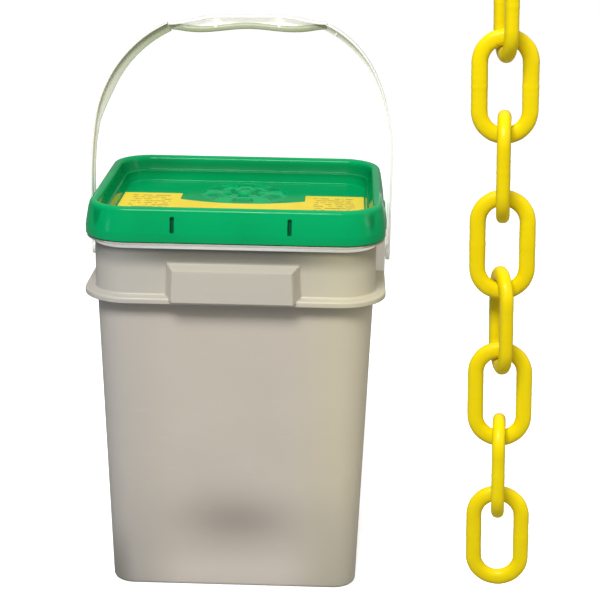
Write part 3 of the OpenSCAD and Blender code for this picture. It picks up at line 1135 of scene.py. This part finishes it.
def bar_outline(steps=24):
    """The bar's section: a circle that is a little flat on the link's two faces."""
    power = 2 / 2.4

    def flattened(value):
        return math.copysign(abs(value) ** power, value)

    angles = [2 * math.pi * k / steps for k in range(steps)]
    return [
        (flattened(math.cos(a)) * BAR_W / 2, flattened(math.sin(a)) * BAR_T / 2) for a in angles
    ]


def hanging_link(number):
    """One link of the hanging length, with the low weld step half way up its bars."""
    node = f"chain_link_{number}"
    low, high = box_mm(node)
    centre = (low + high) / 2
    known = min(number, LINK_COUNT - 1)
    along = Vector(joint_of[f"link_{known}_{known + 1}"]["axis"])
    face = chain_up.cross(along)
    if number == LINK_COUNT:
        along, face = -face, along
    outline = bar_outline()
    verts = []
    faces = []
    line = link_line()
    for i, (point, normal, mid) in enumerate(line):
        weld = WELD_HIGH * math.exp(-((mid / WELD_REACH) ** 2))
        uneven = 0.05 * math.sin(1.7 * i + number) + 0.05 * math.sin(0.43 * i + 2.1 * number)
        grow = 1 + (weld + uneven - 0.12) / (BAR_W / 2)
        for u, v in outline:
            place = point + normal * (u * grow)
            verts.append(centre + along * place.x + chain_up * place.y + face * (v * grow))
    rows = len(outline)
    for i in range(len(line)):
        a, b = i * rows, (i + 1) % len(line) * rows
        for k in range(rows):
            m = (k + 1) % rows
            faces.append((a + k, a + m, b + m, b + k))
    name = f"link_{number}"
    return new_piece(name, verts, faces, name, "chain_plastic", CHAIN, [node], sharp=60)


# ---------------------------------------------------------------- the object

pail_shell()
box_grip("front_grip", -1)
box_grip("back_grip", 1)
bail_ear("right_ear", 1)
bail_ear("left_ear", -1)
lid_shell()
new_piece("lid_rosette", *rosette_relief(), "lid", "lid_plastic", ROSETTE)
slot_backs()
side_tab("right_tab", 1)
side_tab("left_tab", -1)
bail_flange()
bail_web()
bail_grip_web()
bail_nick()
bail_ends()
for number in range(1, LINK_COUNT + 1):
    hanging_link(number)

carried_over = {"lid_gasket": GASKET, "lid_label": LABEL}
carried_over.update({node: CHAIN for node in frame["nodes"] if node.startswith("stored_chain")})
for node, material in carried_over.items():
    mesh = frame["nodes"][node].data
    mesh.materials.clear()
    mesh.materials.append(material)


# ---------------------------------------------------------------- floor and light


FLOOR_REACH = 6


def floor():
    """A white studio floor that gives back little light."""
    n = Nodes("floor")
    seen = n.seen()
    n.set(Base_Color=n.mix(seen, (0.35, 0.35, 0.35), (0.97, 0.97, 0.97)), Roughness=0.9)
    n.set(Emission_Color=(1.0, 1.0, 1.0), Emission_Strength=n.product(seen, 0.5))
    mesh = bpy.data.meshes.new("floor")
    reach = FLOOR_REACH
    corners = [(-reach, -reach, 0), (reach, -reach, 0), (reach, reach, 0), (-reach, reach, 0)]
    mesh.from_pydata(corners, [], [(0, 1, 2, 3)])
    mesh.materials.append(n.material)
    plane = bpy.data.objects.new("floor", mesh)
    bpy.context.scene.collection.objects.link(plane)


def softbox(name, place, target, width, height, watts, colour=(1, 1, 1)):
    data = bpy.data.lights.new(name, "AREA")
    data.shape = "RECTANGLE"
    data.size = width
    data.size_y = height
    data.energy = watts
    data.color = colour
    lamp = bpy.data.objects.new(name, data)
    bpy.context.scene.collection.objects.link(lamp)
    lamp.location = place
    lamp.rotation_euler = (Vector(target) - Vector(place)).to_track_quat("-Z", "Y").to_euler()


def surroundings():
    """A white studio: its light comes mostly from above, and less from the left."""
    world = bpy.data.worlds.new("studio")
    bpy.context.scene.world = world
    world.use_nodes = True
    n = NodeTree(world.node_tree, "Generated")
    left = n.remap(n.axis("X"), -0.95, -0.30, 0.25, 1.0)
    right = n.remap(n.axis("X"), 0.35, 0.95, 1.0, 1.15)
    above = n.remap(n.axis("Z"), 0.05, 0.8, 0.32, 0.60)
    background = world.node_tree.nodes["Background"]
    background.inputs["Color"].default_value = (1, 1, 1, 1)
    strength = n.math("MAXIMUM", n.product(left, right, above), n.seen())
    n.link(strength, background.inputs["Strength"])


floor()
surroundings()
softbox("key", (-0.30, -1.5, 1.95), (0, 0, 0.25), 0.9, 0.6, 52)
softbox("top", (0.1, 0.5, 1.7), (0, 0, 0.3), 1.4, 0.5, 2)
softbox("warm", (1.7, -0.5, 0.8), (0, 0, 0.2), 0.5, 0.9, 4, (1.0, 0.93, 0.78))
softbox("window", (-1.17, -0.85, 0.40), (-0.12, -0.10, 0.34), 0.12, 0.16, 0.9, (0.35, 0.70, 1.0))
bpy.context.scene.view_settings.view_transform = "Standard"
